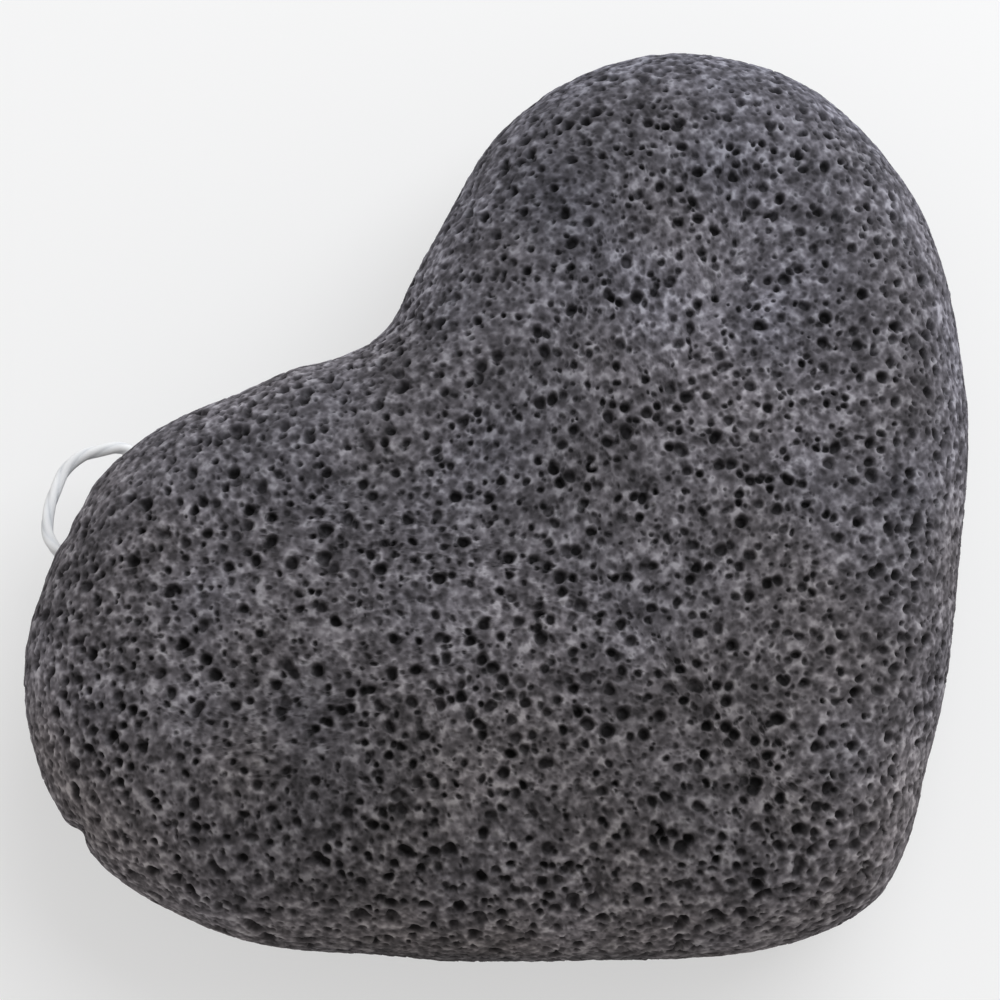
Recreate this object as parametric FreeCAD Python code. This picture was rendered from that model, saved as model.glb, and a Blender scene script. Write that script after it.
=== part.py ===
import FreeCAD, Part
import math
import os

# A heart-shaped konjac sponge on its flat base, with a thin cord threaded through its left lobe.
# Millimetres. The origin is the middle of the base, +Z is up and the notch is towards +Y.

# Heart outline at its widest, seen from above
heart_width = 88.0
heart_length = 68.3
right_lobe_radius = 20.9
left_lobe_radius = 22.5
left_lobe_drop = 0.4
right_hip_radius = 44.9
left_hip_radius = 43.0
right_flank_turn = 7.0
left_flank_turn = 3.7
right_shoulder_lean = 21.0
left_shoulder_lean = 23.0
tip_radius = 15.7
notch_radius = 12.6

# Foam cross section: flat base, upright belly between two large rounded edges, low crown
foam_thickness = 26.0
crown_rise = 2.4
lower_edge_radius = 8.5
belly_band = 2.6
tip_round_share = 0.9

# Cord: thickness, where it leaves the left lobe, and the knot that holds it
cord_diameter = 1.0
loop_bearing = 100.5
loop_facing = 104.9
loop_droop = 20.0
exit_spacing = 10.8
hinge_inset = 0.5
knot_depth = 13.7
knot_diameter = 3.0
tail_length = 4.0
tail_spread = 35.0
loop_end_swell = 0.05

# Free arch of the cord: along the line of its two ends from their middle, and out from that line
loop_route = ((-5.3, 1.9), (-2.6, 4.3), (1.0, 4.45), (4.4, 2.35))
bend_share = 0.45

# Clearances, and how near two ends count as one point
channel_clearance = 0.05
pocket_clearance = 0.1
swing_clearance = 0.1
dimple_radius = 2.4
joined_within = 0.01

up = FreeCAD.Vector(0, 0, 1)
cord_radius = cord_diameter / 2
loop_end_radius = cord_radius + loop_end_swell
right_shoulder = 90 + right_shoulder_lean
left_shoulder = 90 + left_shoulder_lean
tip_centre = FreeCAD.Vector(0, tip_radius - heart_length / 2, 0)
belly_height = lower_edge_radius + belly_band / 2
room_over_belly = foam_thickness - crown_rise - lower_edge_radius - belly_band
upper_edge_radius = min(room_over_belly, tip_round_share * tip_radius)


def heading(degrees):
    angle = math.radians(degrees)
    return FreeCAD.Vector(math.cos(angle), math.sin(angle), 0)


def bearing(vector):
    return math.degrees(math.atan2(vector.y, vector.x))


def mirrored(point):
    return FreeCAD.Vector(-point.x, point.y, point.z)


def half_outline(lobe_radius, lobe_drop, hip_radius, shoulder, flank_turn):
    """The arcs of one side as if on the right: centre, radius, first and last bearing, lobe then hip.

    The flank leaves the straight tangent of lobe and tip by its turn, and the hip fills the corner."""
    lobe = FreeCAD.Vector(heart_width / 2 - lobe_radius, heart_length / 2 - lobe_drop - lobe_radius, 0)
    to_lobe = lobe - tip_centre
    tangent_turn = math.acos((tip_radius - lobe_radius) / to_lobe.Length)
    flank = bearing(to_lobe) - math.degrees(tangent_turn) - flank_turn
    corner_depth = tip_radius - lobe_radius - to_lobe.dot(heading(flank))
    hip_turn = math.acos(1 - corner_depth / (hip_radius - lobe_radius))
    hip_start = flank + math.degrees(hip_turn)
    hip = lobe - heading(hip_start) * (hip_radius - lobe_radius)
    return {"lobe": (lobe, lobe_radius, shoulder, hip_start), "hip": (hip, hip_radius, hip_start, flank)}


right_half = half_outline(right_lobe_radius, 0, right_hip_radius, right_shoulder, right_flank_turn)
left_half = half_outline(left_lobe_radius, left_lobe_drop, left_hip_radius, left_shoulder, left_flank_turn)


def notch_middle():
    """Centre of the notch's arc, which touches the straight shoulders of both lobes from outside."""
    right = heading(right_shoulder)
    left = mirrored(heading(left_shoulder))
    right_reach = right.dot(right_half["lobe"][0]) + right_lobe_radius + notch_radius
    left_reach = left.dot(mirrored(left_half["lobe"][0])) + left_lobe_radius + notch_radius
    spread = right.x * left.y - right.y * left.x
    return FreeCAD.Vector(
        (right_reach * left.y - left_reach * right.y) / spread,
        (left_reach * right.x - right_reach * left.x) / spread,
        0,
    )


def arc_points(centre, radius, first, last):
    middle = (first + last) / 2
    return [centre + heading(angle) * radius for angle in (first, middle, last)]


def outline_arcs():
    """Six arcs of the heart, clockwise from the notch, each as three points."""
    right = [arc_points(*arc) for arc in right_half.values()]
    left = [arc_points(*arc) for arc in left_half.values()]
    left = [[mirrored(p) for p in reversed(arc)] for arc in reversed(left)]
    notch = arc_points(notch_middle(), notch_radius, -left_shoulder, right_shoulder - 180)
    right_flank = right_half["hip"][3]
    left_flank = left_half["hip"][3]
    tip = arc_points(tip_centre, tip_radius, right_flank, -180 - left_flank)
    return [notch, *right, tip, *left]


def heart_wire():
    """The closed outline: lobe and hip arcs touch, and straight shoulders and flanks join the rest."""
    arcs = outline_arcs()
    edges = []
    for arc, following in zip(arcs, arcs[1:] + arcs[:1]):
        edges.append(Part.Arc(*arc).toShape())
        if (following[0] - arc[2]).Length > joined_within:
            edges.append(Part.LineSegment(arc[2], following[0]).toShape())
    return Part.Wire(edges)


def foam_block():
    """The whole heart, before the cord's channels: upright walls, a domed top and rounded edges."""
    walls = Part.Face(heart_wire()).extrude(up * foam_thickness)
    crown_radius = ((heart_width / 2) ** 2 + crown_rise ** 2) / (2 * crown_rise)
    crown = Part.makeSphere(crown_radius, up * (foam_thickness - crown_radius))
    block = walls.common(crown)
    upper_edges = [edge for edge in block.Edges if edge.BoundBox.ZMin > foam_thickness / 2]
    block = block.makeFillet(upper_edge_radius, upper_edges)
    lower_edges = [edge for edge in block.Edges if edge.BoundBox.ZMax < joined_within]
    return block.makeFillet(lower_edge_radius, lower_edges)


# Places on the cord, from the left lobe's arc
lobe_centre = mirrored(left_half["lobe"][0]) + up * belly_height
loop_middle = lobe_centre + heading(loop_bearing) * (left_lobe_radius - hinge_inset)
outwards = heading(loop_facing)
along = outwards.cross(up)
hinge_points = {
    "upper": loop_middle + along * (exit_spacing / 2),
    "lower": loop_middle - along * (exit_spacing / 2),
}
knot_centre = loop_middle - outwards * knot_depth


def rod(start, end, radius):
    return Part.makeCylinder(radius, (end - start).Length, start, end - start)


def tail_ends():
    """Far ends of the two cut tails, which run on from the knot, deeper into the foam."""
    for turn in (tail_spread, -tail_spread):
        yield knot_centre - heading(loop_facing + turn) * (knot_diameter / 2 + tail_length)


def cord_leg(name):
    """A straight buried stretch, from the knot to just short of the loop's round end."""
    way = (hinge_points[name] - knot_centre).normalize()
    start = knot_centre + way * (knot_diameter / 2 + swing_clearance)
    end = hinge_points[name] - way * (loop_end_radius + swing_clearance)
    return rod(start, end, cord_radius)


def cord_knot():
    knot = Part.makeSphere(knot_diameter / 2, knot_centre)
    for end in tail_ends():
        knot = knot.fuse(rod(knot_centre, end, cord_radius))
    return knot.removeSplitter()


def rounded_path(points):
    """Straight runs joined by tangent arcs, each as large as its two runs allow."""
    edges = []
    start = points[0]
    for before, corner, after in zip(points, points[1:], points[2:]):
        back = before - corner
        ahead = after - corner
        reach = bend_share * min(back.Length, ahead.Length)
        half_turn = (math.pi - back.getAngle(ahead)) / 2
        radius = reach / math.tan(half_turn)
        print("loop bend radius", round(radius, 2), "mm, half turn", round(math.degrees(half_turn), 1))
        first = corner + back.normalize() * reach
        last = corner + ahead.normalize() * reach
        inner = (first + last) * (1 / 2) - corner
        middle = corner + inner.normalize() * (radius / math.cos(half_turn) - radius)
        edges.append(Part.LineSegment(start, first).toShape())
        edges.append(Part.Arc(first, middle, last).toShape())
        start = last
    edges.append(Part.LineSegment(start, points[-1]).toShape())
    return Part.Wire(edges)


def cord_loop():
    """The free arch: a tube along its route, with a round end on each hinge point."""
    rise = outwards * math.cos(math.radians(loop_droop)) - up * math.sin(math.radians(loop_droop))
    route = [loop_middle - along * place + rise * reach for place, reach in loop_route]
    points = [hinge_points["upper"], *route, hinge_points["lower"]]
    path = rounded_path(points)
    profile = Part.Wire([Part.makeCircle(cord_radius, points[0], points[1] - points[0])])
    tube = path.makePipeShell([profile], True, False)
    expected = math.pi * cord_radius ** 2 * path.Length
    print("loop path", round(path.Length, 2), "mm, volume as a share", round(tube.Volume / expected, 4))
    for point in hinge_points.values():
        tube = tube.fuse(Part.makeSphere(loop_end_radius, point))
    return tube.removeSplitter()


def sponge_body():
    """The foam with a dimple at each exit, a needle channel for each leg and the pocket for the knot."""
    channel_radius = cord_radius + channel_clearance
    hollow = Part.makeSphere(knot_diameter / 2 + pocket_clearance, knot_centre)
    for point in hinge_points.values():
        hollow = hollow.fuse(rod(knot_centre, point, channel_radius))
        hollow = hollow.fuse(Part.makeSphere(dimple_radius, point))
    for end in tail_ends():
        way = (end - knot_centre).normalize()
        hollow = hollow.fuse(rod(knot_centre, end + way * pocket_clearance, channel_radius))
    return foam_block().cut(hollow)


nodes = {
    "sponge_body": sponge_body(),
    "cord_loop": cord_loop(),
    "cord_leg_upper": cord_leg("upper"),
    "cord_leg_lower": cord_leg("lower"),
    "cord_knot": cord_knot(),
}
os.makedirs("parts", exist_ok=True)
for node, shape in nodes.items():
    shape.exportStep("parts/" + node + ".step")
    print(node, "solids", len(shape.Solids), "valid", shape.isValid(), "volume", round(shape.Volume, 2))
print("hinge through", loop_middle, "along", along)
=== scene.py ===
import math
import bpy
import numpy as np
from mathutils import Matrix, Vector


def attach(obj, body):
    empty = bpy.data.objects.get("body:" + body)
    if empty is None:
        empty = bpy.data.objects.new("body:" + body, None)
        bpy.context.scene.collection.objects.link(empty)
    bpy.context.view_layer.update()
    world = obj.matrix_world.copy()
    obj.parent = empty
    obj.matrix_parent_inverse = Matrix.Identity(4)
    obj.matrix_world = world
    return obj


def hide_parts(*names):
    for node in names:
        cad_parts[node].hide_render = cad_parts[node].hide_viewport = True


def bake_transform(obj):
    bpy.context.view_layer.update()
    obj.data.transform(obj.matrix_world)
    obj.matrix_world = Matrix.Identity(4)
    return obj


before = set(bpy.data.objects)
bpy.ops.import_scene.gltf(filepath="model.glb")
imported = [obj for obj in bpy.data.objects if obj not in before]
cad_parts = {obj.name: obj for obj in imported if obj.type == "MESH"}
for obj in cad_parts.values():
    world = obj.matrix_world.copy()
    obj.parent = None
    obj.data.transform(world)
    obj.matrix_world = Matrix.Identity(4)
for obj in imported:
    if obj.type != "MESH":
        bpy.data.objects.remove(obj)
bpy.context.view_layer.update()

mm = 0.001  # shapes are worked out in millimetres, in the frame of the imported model


# Camera: nearly straight above, leaning a little towards the viewer
cameraSet = {
    "azimuth": -40.96,
    "elevation": 80.0,
    "distance": 252.19,
    "target": (0.296, 10.797, 10.0),
    "lens": 108.0,
    "nearest": 10.0,
}


def aimCamera(say):  # the camera backs away from its target along the bearing and height given
    turn, rise = math.radians(say["azimuth"]), math.radians(say["elevation"])
    back = Vector((math.sin(turn) * math.cos(rise), -math.cos(turn) * math.cos(rise), math.sin(rise)))
    data = bpy.data.cameras.new("camera")
    data.lens = say["lens"]
    data.clip_start = say["nearest"] * mm
    eye = bpy.data.objects.new("camera", data)
    eye.location = (Vector(say["target"]) + back * say["distance"]) * mm
    eye.rotation_euler = (-back).to_track_quat("-Z", "Y").to_euler()
    bpy.context.scene.collection.objects.link(eye)
    bpy.context.scene.camera = eye


aimCamera(cameraSet)
print("camera placed")


# Shared helpers
def linked(name, mesh, material):  # a new object at the origin, with its place in its mesh
    thing = bpy.data.objects.new(name, mesh)
    mesh.materials.append(material)
    bpy.context.scene.collection.objects.link(thing)
    return thing


def keepOnPoints(mesh, name, values):  # one number for each point of a mesh, for its material to read
    mesh.attributes.new(name, "FLOAT", "POINT").data.foreach_set("value", values.astype(np.float32).ravel())


def nodeAdder(owner):  # an emptied node tree and a short way to add linked nodes to it
    owner.use_nodes = True
    tree = owner.node_tree
    tree.nodes.clear()

    def add(kind, inputs=None, **settings):
        node = tree.nodes.new("ShaderNode" + kind)
        for key, value in settings.items():
            setattr(node, key, value)
        for key, value in (inputs or {}).items():
            if isinstance(value, bpy.types.NodeSocket):
                tree.links.new(value, node.inputs[key])
            else:
                node.inputs[key].default_value = value
        return node

    return add


def newMaterial(name):
    material = bpy.data.materials.new(name)
    return material, nodeAdder(material)


def toneRamp(add, value, tones):  # a colour ramp through these stops, each a place and its colour
    node = add("ValToRGB", {"Fac": value})
    ramp = node.color_ramp.elements
    ramp[0].position, ramp[0].color = tones[0]
    ramp[1].position, ramp[1].color = tones[-1]
    for position, colour in tones[1:-1]:
        ramp.new(position).color = colour
    return node.outputs["Color"]


def mattFinish(add, colour, place, say):  # a rough shader with fine noise as bump
    fine = add("TexNoise", {
        "Vector": place,
        "Scale": say["fine"],
        "Detail": say["fineDetail"],
        "Roughness": say["fineRough"],
    })
    bump = add("Bump", {
        "Height": fine.outputs["Fac"],
        "Strength": say["fineBump"],
        "Distance": say["fineHeight"] * mm,
    })
    shader = add("BsdfPrincipled", {
        "Base Color": colour,
        "Normal": bump.outputs["Normal"],
        "Roughness": say["roughness"],
        "Specular IOR Level": say["specular"],
    })
    add("OutputMaterial", {"Surface": shader.outputs["BSDF"]})


def unit(degrees):  # unit vectors in the plan at these bearings
    angle = np.radians(degrees)
    return np.stack([np.cos(angle), np.sin(angle)], -1)


def scaled(vectors):  # each row brought to length one
    return vectors / np.linalg.norm(vectors, axis=-1, keepdims=True)


def runLength(points):  # distance along a line of points, from its first
    return np.concatenate([[0], np.cumsum(np.linalg.norm(np.diff(points, axis=0), axis=1))])


def alongLine(stops, run, points):  # points read off a line at these distances along it
    return np.stack([np.interp(stops, run, column) for column in points.T], -1)


def eased(low, high, value):  # 0 at low, 1 at high, an S curve between
    part = np.clip((value - low) / (high - low), 0, 1)
    return part * part * (3 - 2 * part)


def spot(points, x, y, reach):  # 1 at this plan place, fading out over its reach
    return np.exp(-((points[:, :2] - (x, y)) ** 2).sum(1) / reach ** 2)


latticeSize = 48  # random lattices repeat after this many cells


def softNoise(points, wavelength, seed):  # random numbers on a lattice, blended with eased weights, -1 to 1
    table = np.random.default_rng(seed).uniform(-1, 1, (latticeSize,) * 3)
    place = points / wavelength
    low = np.floor(place).astype(int)
    part = eased(0, 1, place - low)
    total = np.zeros(len(points))
    for step in np.ndindex(2, 2, 2):
        weight = np.where(np.array(step) == 1, part, 1 - part).prod(1)
        total += weight * table[tuple(((low + step) % latticeSize).T)]
    return total


# Cord: knot, needle channel, exit, free arch, exit, needle channel, knot
cordSet = {
    "diameter": 1.0,
    "knot": (-21.986, 19.642, 9.8),
    "exits": ((-20.291, 34.270, 9.8), (-30.728, 31.493, 9.8)),
    "arch": (
        (-21.18, 35.73, 9.20),
        (-24.61, 37.58, 8.23),
        (-27.55, 36.36, 8.38),
        (-30.30, 34.12, 8.92),
    ),
    "outwards": (-0.257133, 0.966376, 0.0),
    "bend": (-0.5, 1.0),  # the swing starts and is complete this far out from the line of the exits
    "smoothness": 24,
    "ring": 30,
    "step": 0.12,
    "plies": 3,
    "plyDepth": 0.09,
    "plyPitch": 2.7,
}
yarnSet = {
    "tones": (
        (0.12, (0.68, 0.70, 0.73, 1)),
        (0.30, (0.84, 0.855, 0.88, 1)),
        (0.62, (0.93, 0.935, 0.945, 1)),
    ),
    # painted shade: how much darker the grooves between plies are
    "grooveShadeShare": 0.45,
    "patch": 420.0,
    "patchDetail": 2.0,
    "fine": 5200.0,
    "fineDetail": 3.0,
    "fineRough": 0.6,
    "fineBump": 0.35,
    "fineHeight": 0.06,
    "roughness": 0.75,
    "specular": 0.3,
}


def legPoint(knot, exit, following):  # on the leg, as far from the exit as the arch's next point is
    return exit + scaled(knot - exit) * np.linalg.norm(following - exit)


def cordRoute(say):  # control points: knot, leg, exit, arch, exit, leg, knot
    knot, arch = np.array(say["knot"]), np.array(say["arch"])
    first, last = np.array(say["exits"])
    return np.array([
        knot,
        legPoint(knot, first, arch[0]),
        first,
        *arch,
        last,
        legPoint(knot, last, arch[-1]),
        knot,
    ])


def splinePoints(route, smoothness):  # points along the NURBS line of these control points, in millimetres
    curve = bpy.data.curves.new("cord line", "CURVE")
    curve.dimensions = "3D"
    spline = curve.splines.new("NURBS")
    spline.points.add(len(route) - 1)
    spline.points.foreach_set("co", np.column_stack([route * mm, np.ones(len(route))]).ravel())
    spline.order_u = 3
    spline.use_endpoint_u = True
    spline.resolution_u = smoothness
    holder = bpy.data.objects.new("cord line", curve)
    line = bpy.data.meshes.new_from_object(holder)
    points = np.zeros(len(line.vertices) * 3)
    line.vertices.foreach_get("co", points)
    bpy.data.objects.remove(holder)
    bpy.data.meshes.remove(line)
    return points.reshape(-1, 3) / mm


def makeCord(say, material):  # a round tube on the line, its radius swelling along three twisted plies
    points = splinePoints(cordRoute(say), say["smoothness"])
    run = runLength(points)
    steps = np.linspace(0, run[-1], int(run[-1] / say["step"]))
    line = alongLine(steps, run, points)
    ahead = scaled(np.gradient(line, axis=0))
    side = scaled(np.cross(ahead, (0, 0, 1)))
    over = np.cross(side, ahead)
    turn = np.linspace(0, 2 * np.pi, say["ring"], endpoint=False)
    twist = say["plies"] * turn[None] - 2 * np.pi * steps[:, None] / say["plyPitch"]
    swell = np.abs(np.cos(twist / 2)) - 2 / np.pi  # its mean is nought
    radius = say["diameter"] / 2 + say["plyDepth"] * swell
    rings = line[:, None] + radius[..., None] * (
        np.cos(turn)[None, :, None] * side[:, None] + np.sin(turn)[None, :, None] * over[:, None]
    )
    index = np.arange(radius.size).reshape(radius.shape)
    after = np.roll(index, -1, axis=1)
    quads = np.stack([index[:-1], after[:-1], after[1:], index[1:]], -1).reshape(-1, 4)
    ends = [index[0][::-1].tolist(), index[-1].tolist()]
    mesh = bpy.data.meshes.new("hangingCord")
    mesh.from_pydata((rings.reshape(-1, 3) * mm).tolist(), [], quads.tolist() + ends)
    mesh.polygons.foreach_set("use_smooth", np.ones(len(mesh.polygons), bool))
    # the ply swell, which the material turns into painted shade in the grooves
    keepOnPoints(mesh, "plyGrooveShade", swell)
    print("cord", round(run[-1], 2), "mm from knot to knot")
    return linked("hangingCord", mesh, material), line * mm, run[-1] * mm


def cordMaterial(say):  # white twisted yarn: slow drifts of tone, painted shade in the grooves between plies, fine fibres
    material, add = newMaterial("white yarn")
    place = add("TexCoord").outputs["Object"]
    patch = add("TexNoise", {"Vector": place, "Scale": say["patch"], "Detail": say["patchDetail"]})
    # painted shade in the grooves between plies, over slow drifts of tone
    plyGrooveShade = add("Attribute", attribute_name="plyGrooveShade").outputs["Fac"]
    lift = add("Math", {0: plyGrooveShade, 1: say["grooveShadeShare"], 2: patch.outputs["Fac"]}, operation="MULTIPLY_ADD")
    mattFinish(add, toneRamp(add, lift.outputs["Value"], say["tones"]), place, say)
    return material


yarn = cordMaterial(yarnSet)
cord, cordLine, cordLength = makeCord(cordSet, yarn)
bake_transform(cord)
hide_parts("cord_loop", "cord_leg_upper", "cord_leg_lower")
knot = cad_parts["cord_knot"]
knot.data.materials.clear()
knot.data.materials.append(yarn)


# Sponge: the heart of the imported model, with its dents, pores and the pull of the cord
heartSet = {
    "width": 88.0,
    "length": 68.3,
    "tip": 15.7,
    "notch": 12.6,
    "right": {"lobe": 20.9, "drop": 0.0, "hip": 44.9, "lean": 21.0, "turn": 7.0},
    "left": {"lobe": 22.5, "drop": 0.4, "hip": 43.0, "lean": 23.0, "turn": 3.7},
    "thickness": 26.0,
    "crownRise": 2.4,
    "upperEdge": 12.5,
    "lowerEdge": 8.5,
    "arcPoints": 1500,
    "columns": 2080,  # a multiple of 16, for the two nets
    "upperRows": 158,
    "wallRows": 26,
    "lowerRows": 100,
    "thinStep": 0.2,  # width of the row that halves the columns on the base
    "middle": (0.0, -1.0),
    "layoutGap": 2.0,  # between the pieces of the flat layout, and round it
}


def sideArcs(heart, side):  # one side as if on the right: the flank leaves the lobe-tip tangent by its turn
    lobe = np.array([heart["width"] / 2 - side["lobe"], heart["length"] / 2 - side["drop"] - side["lobe"]])
    toLobe = lobe - np.array([0, heart["tip"] - heart["length"] / 2])
    gap = heart["tip"] - side["lobe"]
    tangent = math.degrees(math.atan2(toLobe[1], toLobe[0]) - math.acos(gap / np.linalg.norm(toLobe)))
    flank = tangent - side["turn"]
    corner = (gap - toLobe @ unit(flank)) / (side["hip"] - side["lobe"])
    hipStart = flank + math.degrees(math.acos(1 - corner))
    return {
        "lobe": lobe,
        "hip": lobe - unit(hipStart) * (side["hip"] - side["lobe"]),
        "shoulder": 90 + side["lean"],
        "hipStart": hipStart,
        "flank": flank,
    }


def heartOutline(heart):  # plan points and the bearings they face, clockwise from the notch: six arcs
    right, left = sideArcs(heart, heart["right"]), sideArcs(heart, heart["left"])
    flip = np.array([-1, 1])
    facing = np.array([unit(right["shoulder"]), unit(left["shoulder"]) * flip])
    reach = [
        facing[0] @ right["lobe"] + heart["right"]["lobe"] + heart["notch"],
        facing[1] @ (left["lobe"] * flip) + heart["left"]["lobe"] + heart["notch"],
    ]
    tip = np.array([0, heart["tip"] - heart["length"] / 2])
    arcs = [
        (np.linalg.solve(facing, reach), -heart["notch"], 180 - left["shoulder"], right["shoulder"]),
        (right["lobe"], heart["right"]["lobe"], right["shoulder"], right["hipStart"]),
        (right["hip"], heart["right"]["hip"], right["hipStart"], right["flank"]),
        (tip, heart["tip"], right["flank"], -180 - left["flank"]),
        (left["hip"] * flip, heart["left"]["hip"], -180 - left["flank"], -180 - left["hipStart"]),
        (left["lobe"] * flip, heart["left"]["lobe"], -180 - left["hipStart"], -180 - left["shoulder"]),
    ]
    bearings = [np.linspace(start, end, heart["arcPoints"]) for _, _, start, end in arcs]
    points = [centre + radius * unit(turn) for (centre, radius, _, _), turn in zip(arcs, bearings)]
    points, bearings = np.concatenate(points), np.concatenate(bearings)
    return np.vstack([points, points[:1]]), np.append(bearings, bearings[0] - 360)


def evenColumns(heart):  # outline points spread evenly along the line halfway in from wall to crown
    points, bearings = heartOutline(heart)
    run = runLength(points - unit(bearings) * heart["upperEdge"] / 2)
    stops = np.linspace(0, run[-1], heart["columns"], endpoint=False)
    return alongLine(stops, run, points), np.interp(stops, run, bearings), run[-1] / heart["columns"]


def crownBall(heart):  # centre height and radius of the large ball that the crown is cut from
    radius = ((heart["width"] / 2) ** 2 + heart["crownRise"] ** 2) / (2 * heart["crownRise"])
    return heart["thickness"] - radius, radius


def sideBand(heart, wall, out):  # rows from crown to base: arc of a rolling ball, upright run, quarter round
    ballHeight, ballRadius = crownBall(heart)
    flat = np.zeros((len(wall), 1))
    out = np.hstack([out, flat])
    centre = np.hstack([wall, flat]) - out * heart["upperEdge"]
    drop = (ballRadius - heart["upperEdge"]) ** 2 - (centre[:, :2] ** 2).sum(1)
    centre[:, 2] = ballHeight + np.sqrt(drop)
    crownWay = scaled(centre - (0, 0, ballHeight))
    sweep = np.arccos((crownWay * out).sum(1))[:, None]
    share = np.linspace(0, 1, heart["upperRows"], endpoint=False)[:, None, None]
    upper = (np.sin((1 - share) * sweep) * crownWay + np.sin(share * sweep) * out) / np.sin(sweep)
    share = np.linspace(0, 1, heart["wallRows"], endpoint=False)[:, None]
    heights = centre[:, 2] + (heart["lowerEdge"] - centre[:, 2]) * share
    upright = np.dstack([np.broadcast_to(wall, heights.shape + (2,)), heights])
    turn = np.linspace(0, np.pi / 2, heart["lowerRows"] + 1)[:, None, None]
    lower = np.cos(turn) * out - np.sin(turn) * np.array([0, 0, 1])
    lowCentre = np.hstack([wall, flat + heart["lowerEdge"]]) - out * heart["lowerEdge"]
    rows = [centre + upper * heart["upperEdge"], upright, lowCentre + lower * heart["lowerEdge"]]
    return np.concatenate(rows), np.concatenate([upper, np.broadcast_to(out, upright.shape), lower])


def squareFill(rim, middle):  # a square net inside the rim: each ring of it is the rim drawn in to the middle
    count = len(rim)
    half = count // 8
    across, up = np.meshgrid(np.arange(-half, half + 1), np.arange(-half, half + 1), indexing="ij")
    ring = np.maximum(np.abs(across), np.abs(up))
    a, b = across / np.maximum(ring, 1), up / np.maximum(ring, 1)
    lap = np.select([(a >= 1) & (b < 1), b >= 1, a <= -1], [b + 1, 3 - a, 5 - b], 7 + a)
    lap = lap * half % count
    closed = np.vstack([rim, rim[:1]])
    edge = np.stack([np.interp(lap, np.arange(count + 1), column) for column in closed.T], -1)
    plan = middle + (edge - middle) * ring[..., None] / half
    return plan, np.round(lap).astype(int), ring == half


def netIndex(lap, isRim, rimIndex, start):  # a net's point numbers: the rim's own, then new ones from start
    net = np.zeros(lap.shape, int)
    net[isRim] = rimIndex[lap[isRim]]
    net[~isRim] = start + np.arange((~isRim).sum())
    return net


def cells(grid):  # the four corners of every cell of a grid
    corners = np.stack([grid[:-1, 1:], grid[1:, 1:], grid[1:, :-1], grid[:-1, :-1]], 2)
    return corners.reshape(-1, 4, *grid.shape[2:])


def halvedCells(edge, inner):  # two spans of the edge over one inner span: five corners
    return np.stack([inner[:-1], inner[1:], edge[2::2], edge[1::2], edge[0:-1:2]], 1)


def flatLayout(heart, band, step, crownPlan, basePlan):  # the band in two strips, crown and base side by side
    gap = heart["layoutGap"]
    half = band.shape[1] // 2
    rowRun = runLength(band[:, 0])
    flat = np.stack(np.meshgrid(np.arange(2 * half + 1) * step, rowRun), -1)
    lift = rowRun[-1] + heart["thinStep"] + gap
    strips = [flat[:, :half + 1], flat[:, half:] + (-half * step, lift)]
    crownFlat = crownPlan - crownPlan.min((0, 1)) + (0, 2 * lift)
    baseFlat = basePlan - basePlan.min((0, 1)) + (crownFlat[..., 0].max() + gap, 2 * lift)
    return strips, crownFlat, baseFlat


def spongeNet(heart):  # the closed heart: side band, a row that halves its columns, crown net, base net
    wall, bearings, step = evenColumns(heart)
    out = unit(bearings)
    band, bandNormals = sideBand(heart, wall, out)
    ballHeight, ballRadius = crownBall(heart)
    thinPlan = (wall - out * (heart["lowerEdge"] + heart["thinStep"]))[::2]
    crownPlan, crownLap, crownRim = squareFill(band[0, :, :2], np.array(heart["middle"]))
    basePlan, baseLap, baseRim = squareFill(thinPlan, np.array(heart["middle"]))

    crown = crownPlan[~crownRim]
    crown = np.column_stack([crown, ballHeight + np.sqrt(ballRadius ** 2 - (crown ** 2).sum(1))])
    thin, base = [np.pad(plan, ((0, 0), (0, 1))) for plan in (thinPlan, basePlan[~baseRim])]
    points = [band.reshape(-1, 3), thin, crown, base]
    down = np.array([0.0, 0.0, -1.0])
    normals = [
        bandNormals.reshape(-1, 3),
        np.broadcast_to(down, thin.shape),
        (crown - (0, 0, ballHeight)) / ballRadius,
        np.broadcast_to(down, base.shape),
    ]

    starts = np.cumsum([0] + [len(part) for part in points])
    index = np.arange(starts[1]).reshape(band.shape[:2])
    wrapped = np.hstack([index, index[:, :1]])
    half = index.shape[1] // 2
    thinIndex = np.arange(starts[1], starts[2])
    crownNet = netIndex(crownLap, crownRim, index[0], starts[2])
    baseNet = netIndex(baseLap, baseRim, thinIndex, starts[3])
    strips, crownFlat, baseFlat = flatLayout(heart, band, step, crownPlan, basePlan)
    quads = [cells(wrapped[:, :half + 1]), cells(wrapped[:, half:]), cells(crownNet), cells(baseNet)[:, ::-1]]
    quadsFlat = [cells(strips[0]), cells(strips[1]), cells(crownFlat), cells(baseFlat)[:, ::-1]]
    halved = halvedCells(wrapped[-1], np.append(thinIndex, thinIndex[0]))
    halvedFlat = [halvedCells(strip[-1], strip[-1, ::2] + (0, heart["thinStep"])) for strip in strips]
    faces = [(np.concatenate(quads), np.concatenate(quadsFlat)), (halved, np.concatenate(halvedFlat))]
    return np.concatenate(points), np.concatenate(normals), faces


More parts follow.
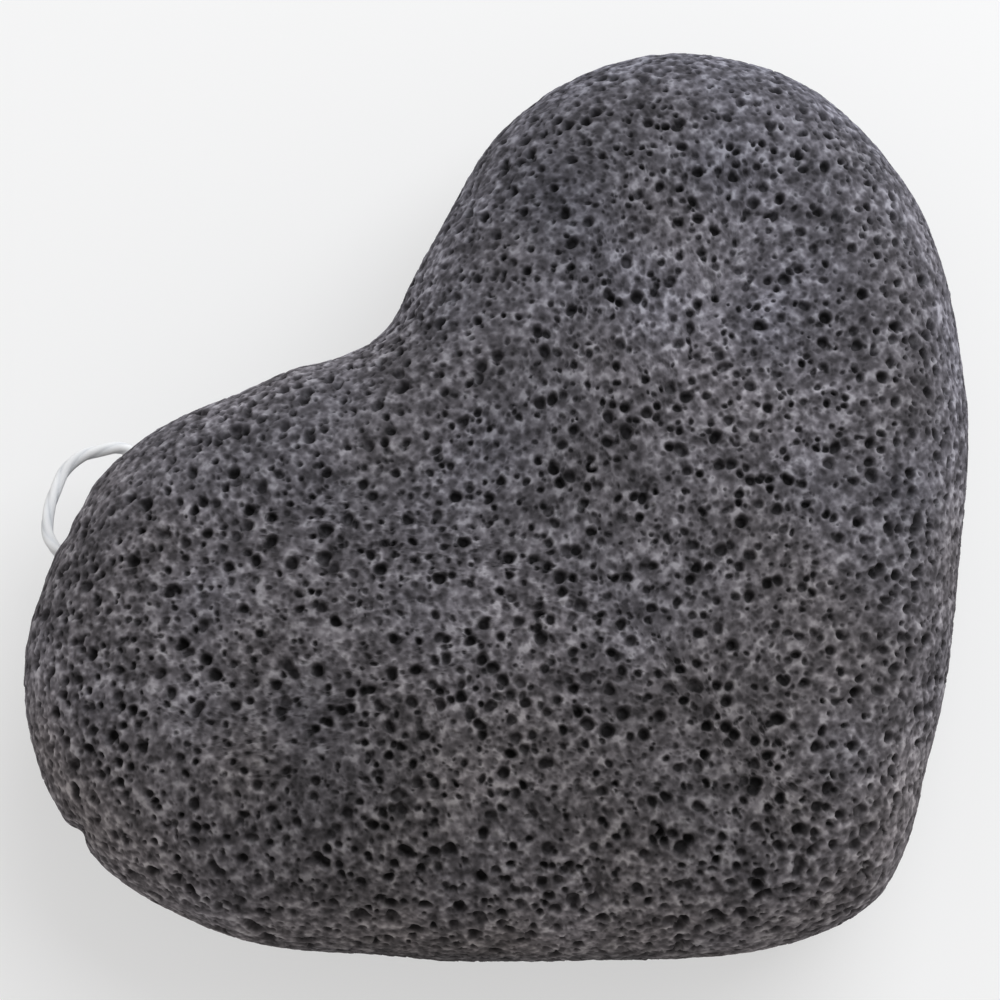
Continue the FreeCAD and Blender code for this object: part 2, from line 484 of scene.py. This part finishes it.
poreSet = {
    "layers": (
        {"pitch": 1.50, "small": 0.26, "large": 0.61, "share": 0.95, "open": 1.0, "seed": 11},
        {"pitch": 1.20, "small": 0.17, "large": 0.30, "share": 0.70, "open": 0.8, "seed": 12},
        {"pitch": 0.85, "small": 0.20, "large": 0.34, "share": 0.95, "open": 0.40, "seed": 13},
        {"pitch": 0.55, "small": 0.12, "large": 0.20, "share": 0.80, "open": 0.35, "seed": 14},
    ),
    "skew": 1.6,  # more small pores than large ones
    "near": (0.5, 0.42),  # how far from the surface a bubble still opens, in pitches
    "faintest": 0.6,
    "depthShare": 1.5,
    "bowl": (1.05, 0.45),  # from here to here, in radii: the wall of a pore, its painted shade, and its raised rim
    "shadow": (1.3, 0.5),
    "rimRise": (0.9, 1.3),
    "rimFall": (2.0, 1.4),
    "warps": ((0.85, 0.17), (0.40, 0.07)),
    "warpSeeds": (21, 22, 23),
    "deepest": 1.0,
    "towards": (0.66, 0.751, 0.0),  # the bearing along which the pores shrink, and towards which the painted tint turns cool
    "shrink": 0.002,
    "patchWave": 4.5,
    "patchShare": 0.2,
    "patchSeed": 24,
    "ridges": ((1.1, 0.55, 33), (0.6, 0.45, 34)),
    "ridgeHeight": 0.10,
    # raised pore rims, also painted paler as a highlight
    "rimShare": 0.38,
    "baseFade": (0.0, 1.5),  # heights over which the ridges start, so that the base stays flat
}


def bubbleLayer(points, normals, size, layer, say):  # a pore in each cell of a jittered grid
    table = np.random.default_rng(layer["seed"]).random((latticeSize,) * 3 + (6,))
    low = np.floor(points / layer["pitch"] - 0.5).astype(int)
    depth, shade, rim = np.zeros((3, len(points)))
    for step in np.ndindex(2, 2, 2):
        cell = low + step
        draw = table[tuple((cell % latticeSize).T)]
        away = points - (cell + draw[:, :3]) * layer["pitch"]
        radius = (layer["small"] + (layer["large"] - layer["small"]) * draw[:, 3] ** say["skew"]) * size
        height = (away * normals).sum(1)
        nearness = np.sqrt(np.maximum((away ** 2).sum(1) - height ** 2, 0)) / radius
        there = eased(*say["near"], np.abs(height) / layer["pitch"]) * (draw[:, 4] < layer["share"])
        there *= layer["open"] * (say["faintest"] + (1 - say["faintest"]) * draw[:, 5])
        depth = np.maximum(depth, say["depthShare"] * radius * there * eased(*say["bowl"], nearness))
        shade = np.maximum(shade, there * eased(*say["shadow"], nearness))
        raised = eased(*say["rimRise"], nearness) * eased(*say["rimFall"], nearness)
        rim = np.maximum(rim, there * raised)
    return depth, shade, rim


def foamPores(points, normals, say):  # deepest and darkest bubble of all layers, on gently warped ground
    warped = points.copy()
    for wavelength, shift in say["warps"]:
        warped += shift * np.stack([softNoise(points, wavelength, seed) for seed in say["warpSeeds"]], -1)
    size = 1.0 - say["shrink"] * (points @ np.array(say["towards"]))
    size += say["patchShare"] * softNoise(points, say["patchWave"], say["patchSeed"])
    layers = [bubbleLayer(warped, normals, size, layer, say) for layer in say["layers"]]
    depth, shade, rim = np.max(layers, axis=0)
    ridge = sum(share * softNoise(points, wavelength, seed) for wavelength, share, seed in say["ridges"])
    # the raised rims also go into the painted highlight
    ridge += say["rimShare"] * rim * (1 - shade)
    relief = say["ridgeHeight"] * ridge * eased(*say["baseFade"], points[:, 2])
    return np.minimum(depth, say["deepest"]) - relief, shade, ridge


pullSet = {
    "dimple": 2.0,
    "dimpleReach": 3.2,
    "hole": 0.8,
    "holes": ((-20.49, 33.73, 9.8), (-30.29, 31.96, 9.8)),  # where the legs of the cord leave the wall
    "holeEdge": (1.3, 0.5),  # from the edge of a needle hole to the cord in it
    "lumps": ((14.0, 0.22, 31), (5.0, 0.10, 32)),
    "dents": (  # plan place, reach, and how far the edge is pushed out there
        (-6.5, 29.3, 3.6, 0.55),
        (1.8, 27.8, 3.4, -0.60),
        (8.5, 31.0, 5.0, -0.15),
        (44.0, 14.5, 4.5, -0.32),
        (43.0, 3.5, 5.0, 0.30),
        (35.5, -8.5, 6.0, -0.26),
        (19.0, -23.0, 8.0, 0.45),
        (10.2, -30.8, 5.0, -0.45),
        (1.5, -34.1, 3.4, 0.25),
        (-6.5, -32.4, 5.0, -0.46),
        (-33.3, -10.9, 6.0, -0.70),
        (-40.5, -2.0, 5.0, 0.32),
        (-43.5, 8.5, 9.0, 0.36),
        (-37.5, 25.0, 6.0, -0.20),
        (-43.9, 11.9, 1.0, -0.60),
        (-32.0, 31.2, 6.0, -0.60),
        (-26.9, 33.1, 1.3, -0.35),
        (-29.3, 32.2, 1.2, -0.35),
    ),
    "baseFade": (0.5, 4.0),  # heights over which lumps and dents start
}


def nearest(points, places):  # distance from the nearest of these places
    return np.min([np.linalg.norm(points - np.array(place), axis=1) for place in places], axis=0)


def settle(points, say):  # how far each point is drawn in: lumps, dents, and a dimple and hole at each exit
    pushed = sum(height * softNoise(points, wavelength, seed) for wavelength, height, seed in say["lumps"])
    for x, y, reach, push in say["dents"]:
        pushed += push * spot(points, x, y, reach)
    drawnIn = -pushed * eased(*say["baseFade"], points[:, 2])
    drawnIn += say["dimple"] * eased(say["dimpleReach"], 0, nearest(points, cordSet["exits"]))
    return drawnIn + say["hole"] * eased(*say["holeEdge"], nearest(points, say["holes"]))


foamSet = {
    "tones": (
        (0.28, (0.0375, 0.0345, 0.0385, 1)),
        (0.46, (0.083, 0.077, 0.086, 1)),
        (0.60, (0.152, 0.142, 0.158, 1)),
        (0.74, (0.270, 0.258, 0.280, 1)),
    ),
    "grain": 1250.0,
    "grainDetail": 1.5,
    "grainRough": 0.5,
    # painted highlight: raised ridges and pore rims made paler, as where they catch the light
    "ridgeHighlight": 0.17,
    "drift": 230.0,
    "driftDetail": 2.0,
    "driftRange": (0.3, 0.7),
    "driftShare": 0.2,
    # painted shade in the pores: their colour is scaled down to this at the darkest
    "poreShadeTone": 0.09,
    # painted light colour: cool on the side towards the light, warm on the shaded side
    "warm": (1.035, 1.0, 0.925),
    "cool": (0.965, 1.0, 1.060),
    "tintReach": 40.0,
    "tintWave": 6.0,
    "tintNoise": 0.24,
    "tintSeed": 41,
    # painted light: the sides made paler, standing for the light they catch from all round
    "paintedRimLight": 0.35,
    "rimLightSlope": (0.85, 0.5),  # upward share of the normal where the painted rim light starts and is full
    # painted shade: darker towards the base, where the floor shades it
    "baseShade": 0.35,
    "baseShadeHeight": (13.0, 9.5),
    "flankShadow": (-24.0, -18.0, 0.48),  # painted shadow: plan place and how much darker, low on one flank
    "flankShadowReach": (27.0, 6.0),
    "flankShadowHeight": (20.0, 13.0),
    "toneAndLightPatches": (  # plan place, reach, and how much paler the foam is there: painted light and shade where the lamp falls more or less, partly the foam's own tone
        (19.0, 7.0, 9.0, 0.46),
        (21.0, 24.5, 6.5, -0.28),
        (8.0, 8.0, 7.5, -0.30),
        (-26.0, -0.5, 9.0, -0.36),
        (-11.5, -13.0, 7.0, -0.20),
        (1.0, -18.0, 7.0, -0.20),
        (-9.0, 2.0, 8.0, 0.20),
        (-39.0, 20.0, 6.5, 0.46),
        (-41.0, 6.0, 6.0, 0.26),
        (35.0, 21.0, 5.0, 0.18),
        (4.5, -29.0, 6.0, 0.24),
        (-18.0, -18.0, 5.0, 0.20),
        (-22.5, 27.0, 5.5, 0.20),
    ),
    "fine": 3200.0,
    "fineDetail": 2.0,
    "fineRough": 0.5,
    "fineBump": 0.3,
    "fineHeight": 0.1,
    "roughness": 0.9,
    "specular": 0.25,
}


def foamToneAndLight(points, normals, say):  # broad tone and painted light: sides painted paler as rim light, patches partly own tone and partly painted light and shade, a painted shadow low on one flank, painted shade near the base
    toneAndPaintedLight = 1 + say["paintedRimLight"] * eased(*say["rimLightSlope"], normals[:, 2])
    for x, y, reach, paler in say["toneAndLightPatches"]:
        toneAndPaintedLight += paler * spot(points, x, y, reach)
    # painted shadow low on one flank
    x, y, darker = say["flankShadow"]
    flankShadow = darker * eased(*say["flankShadowReach"], np.hypot(points[:, 0] - x, points[:, 1] - y))
    toneAndPaintedLight *= 1 - flankShadow * eased(*say["flankShadowHeight"], points[:, 2])
    # painted shade near the base
    return toneAndPaintedLight * (1 - say["baseShade"] * eased(*say["baseShadeHeight"], points[:, 2]))


def foamTint(points, say):  # 0 where the foam is warm, 1 where it is cool: a slope across it painted cool towards the light and warm on the shaded side, and random noise
    slope = points @ np.array(poreSet["towards"]) / say["tintReach"]
    return 0.5 + slope / 2 + say["tintNoise"] * softNoise(points, say["tintWave"], say["tintSeed"])


def foamMaterial(say):  # charcoal foam: mottled grain, ridges and pore rims painted paler as a highlight, slow drifts of tone, painted shade in the pores, and the painted light, shade and tint kept on the points
    material, add = newMaterial("charcoal foam")
    place = add("TexCoord").outputs["Object"]
    names = ("poreShade", "ridge", "toneAndPaintedLight", "tint")
    kept = {name: add("Attribute", attribute_name=name).outputs["Fac"] for name in names}
    grain = add("TexNoise", {
        "Vector": place,
        "Scale": say["grain"],
        "Detail": say["grainDetail"],
        "Roughness": say["grainRough"],
    })
    # painted highlight: ridges and pore rims lift the grain's tone
    height = add("Math", {
        0: kept["ridge"],
        1: say["ridgeHighlight"],
        2: grain.outputs["Fac"],
    }, operation="MULTIPLY_ADD")
    tone = toneRamp(add, height.outputs["Value"], say["tones"])
    drift = add("TexNoise", {"Vector": place, "Scale": say["drift"], "Detail": say["driftDetail"]})
    drifted = add("MapRange", {
        "Value": drift.outputs["Fac"],
        "From Min": say["driftRange"][0],
        "From Max": say["driftRange"][1],
        "To Min": 1 - say["driftShare"],
        "To Max": 1 + say["driftShare"],
    })
    # painted shade: darker where pores are deep and round the needle holes
    poreShadeFactor = add("MapRange", {"Value": kept["poreShade"], "To Min": 1.0, "To Max": say["poreShadeTone"]})
    shade = add("Math", {0: drifted.outputs["Result"], 1: poreShadeFactor.outputs["Result"]}, operation="MULTIPLY")
    # times the painted light and shade kept on the points
    shade = add("Math", {0: shade.outputs["Value"], 1: kept["toneAndPaintedLight"]}, operation="MULTIPLY")
    colour = add("VectorMath", {0: tone, "Scale": shade.outputs["Value"]}, operation="SCALE")
    # painted light colour: the kept tint between warm shade and cool light
    hue = add("VectorMath", {
        0: kept["tint"],
        1: tuple(np.subtract(say["cool"], say["warm"])),
        2: say["warm"],
    }, operation="MULTIPLY_ADD")
    colour = add("VectorMath", {0: colour.outputs["Vector"], 1: hue.outputs["Vector"]}, operation="MULTIPLY")
    mattFinish(add, colour.outputs["Vector"], place, say)
    return material


def netMesh(name, places, faces, margin):  # a smooth mesh of these faces, with its flat layout as its UV map
    mesh = bpy.data.meshes.new(name)
    mesh.vertices.add(len(places))
    mesh.vertices.foreach_set("co", places.astype(np.float32).ravel())
    corners = np.concatenate([corner.ravel() for corner, _ in faces])
    sizes = np.concatenate([np.full(len(corner), corner.shape[1]) for corner, _ in faces])
    mesh.loops.add(len(corners))
    mesh.loops.foreach_set("vertex_index", corners.astype(np.int32))
    mesh.polygons.add(len(sizes))
    mesh.polygons.foreach_set("loop_start", (np.cumsum(sizes) - sizes).astype(np.int32))
    mesh.update(calc_edges=True)
    mesh.polygons.foreach_set("use_smooth", np.ones(len(sizes), bool))
    layout = np.concatenate([flat.reshape(-1, 2) for _, flat in faces]) + margin
    laid = mesh.uv_layers.new(name="OFBake")
    laid.uv.foreach_set("vector", (layout / (layout.max() + margin)).astype(np.float32).ravel())
    print(name, len(places), "points", len(sizes), "faces, laid out on", layout.max().round(1), "mm")
    return mesh


def makeSponge(material):  # the net moved in along its normals, its pores, tones and painted light and shade kept on its points
    points, normals, faces = spongeNet(heartSet)
    depth, shade, ridge = foamPores(points, normals, poreSet)
    # painted shade round the needle holes that the cord goes into
    shade = np.maximum(shade, eased(*pullSet["holeEdge"], nearest(points, pullSet["holes"])))
    places = (points - normals * (settle(points, pullSet) + depth)[:, None]) * mm
    mesh = netMesh("spongeHeart", places, faces, heartSet["layoutGap"])
    kept = {
        "poreShade": shade,
        "ridge": ridge,
        "toneAndPaintedLight": foamToneAndLight(points, normals, foamSet),
        "tint": foamTint(points, foamSet),
    }
    for name, values in kept.items():
        keepOnPoints(mesh, name, values)
    return linked("spongeHeart", mesh, material)


sponge = makeSponge(foamMaterial(foamSet))
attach(sponge, "sponge")
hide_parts("sponge_body")


# Stage: pale floor, one large soft lamp at the upper right of the picture, even light from all round
stageSet = {
    "floorSize": 6.0,
    "floorColour": (0.45, 0.45, 0.45, 1),
    "floorGlow": 0.50,
    "horizonLight": 1.05,
    "zenithLight": 0.16,
    "backdrop": 0.70,
    "worldColour": (1.0, 0.985, 0.965, 1),
    "keyPower": 2.65,
    "keySize": 0.5,
    "keyPlace": (0.374, 0.093, 0.395),
    "keyAim": (0.0, 0.0, 0.01),
    "keyColour": (0.945, 0.97, 1.0),
}


def seenBy(add):  # 1 for what the camera, a mirror or glass sees, 0 for bounced light
    path = add("LightPath").outputs
    first = add("Math", {0: path["Is Camera Ray"], 1: path["Is Glossy Ray"]}, operation="MAXIMUM")
    both = add("Math", {0: first.outputs["Value"], 1: path["Is Transmission Ray"]}, operation="MAXIMUM")
    return both.outputs["Value"]


def makeFloor(say):  # one flat square: plain grey to bounced light, and lifted to near white where it is seen
    half = say["floorSize"] / 2
    corners = [(-half, -half, 0), (half, -half, 0), (half, half, 0), (-half, half, 0)]
    mesh = bpy.data.meshes.new("floor")
    mesh.from_pydata(corners, [], [(0, 1, 2, 3)])
    material, add = newMaterial("pale floor")
    glow = add("Math", {0: seenBy(add), 1: say["floorGlow"]}, operation="MULTIPLY")
    light = add("Emission", {"Strength": glow.outputs["Value"]})
    plain = add("BsdfDiffuse", {"Color": say["floorColour"]})
    both = add("AddShader", {0: plain.outputs["BSDF"], 1: light.outputs["Emission"]})
    add("OutputMaterial", {"Surface": both.outputs["Shader"]})
    linked("floor", mesh, material)


def makeLight(say):  # world light that brightens towards the horizon, seen as an even backdrop, and a lamp
    world = bpy.data.worlds.new("studio")
    bpy.context.scene.world = world
    add = nodeAdder(world)
    way = add("SeparateXYZ", {"Vector": add("TexCoord").outputs["Generated"]})
    strength = add("MapRange", {
        "Value": way.outputs["Z"],
        "To Min": say["horizonLight"],
        "To Max": say["zenithLight"],
    })
    seen = add("Mix", {"Factor": seenBy(add), "A": strength.outputs["Result"], "B": say["backdrop"]})
    light = add("Background", {"Color": say["worldColour"], "Strength": seen.outputs["Result"]})
    add("OutputWorld", {"Surface": light.outputs["Background"]})
    lamp = bpy.data.lights.new("key", "AREA")
    lamp.energy = say["keyPower"]
    lamp.size = say["keySize"]
    lamp.color = say["keyColour"]
    key = bpy.data.objects.new("key", lamp)
    key.location = say["keyPlace"]
    key.rotation_euler = (Vector(say["keyAim"]) - key.location).to_track_quat("-Z", "Y").to_euler()
    bpy.context.scene.collection.objects.link(key)


makeFloor(stageSet)
makeLight(stageSet)
bpy.context.scene.view_settings.view_transform = "Standard"
print("stage lit")
